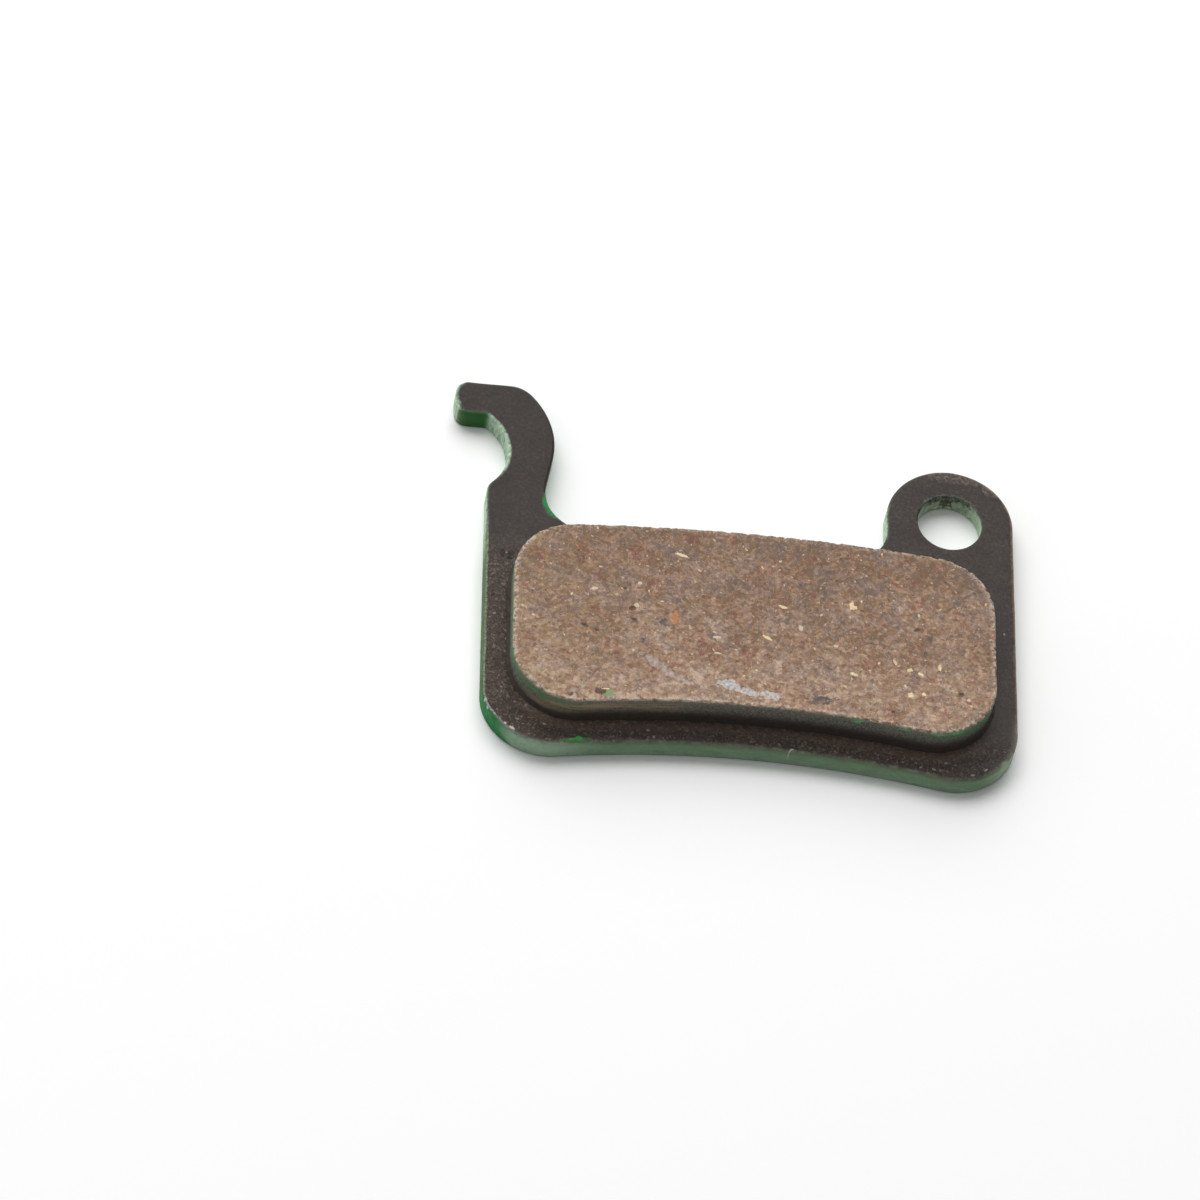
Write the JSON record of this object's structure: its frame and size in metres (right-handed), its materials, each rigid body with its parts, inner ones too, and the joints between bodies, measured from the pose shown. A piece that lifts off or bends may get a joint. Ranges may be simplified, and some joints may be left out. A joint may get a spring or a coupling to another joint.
{
  "type": "bicycle disc brake pad",
  "caption": "Disc brake pad: a stamped steel backing plate with a hook and an eared pin hole, carrying a moulded speckled friction lining.",
  "frame": {"origin": "on the plate's back face, on the piston's axis, behind the lining's centre", "axes": "+X along the rotor's rim towards the pin hole, +Y away from the wheel's axis, +Z from the back face towards the rotor"},
  "size_m": [0.0383, 0.0296, 0.0035],
  "materials": {
    "plate_paint": "dark grey-brown primer on the friction side, green paint on the edges and the back",
    "lining_compound": "matt brown resin compound with brass flecks"
  },
  "bodies": {
    "root": {"back_plate": "plate_paint", "friction_lining": "lining_compound"}
  },
  "joints": []
}
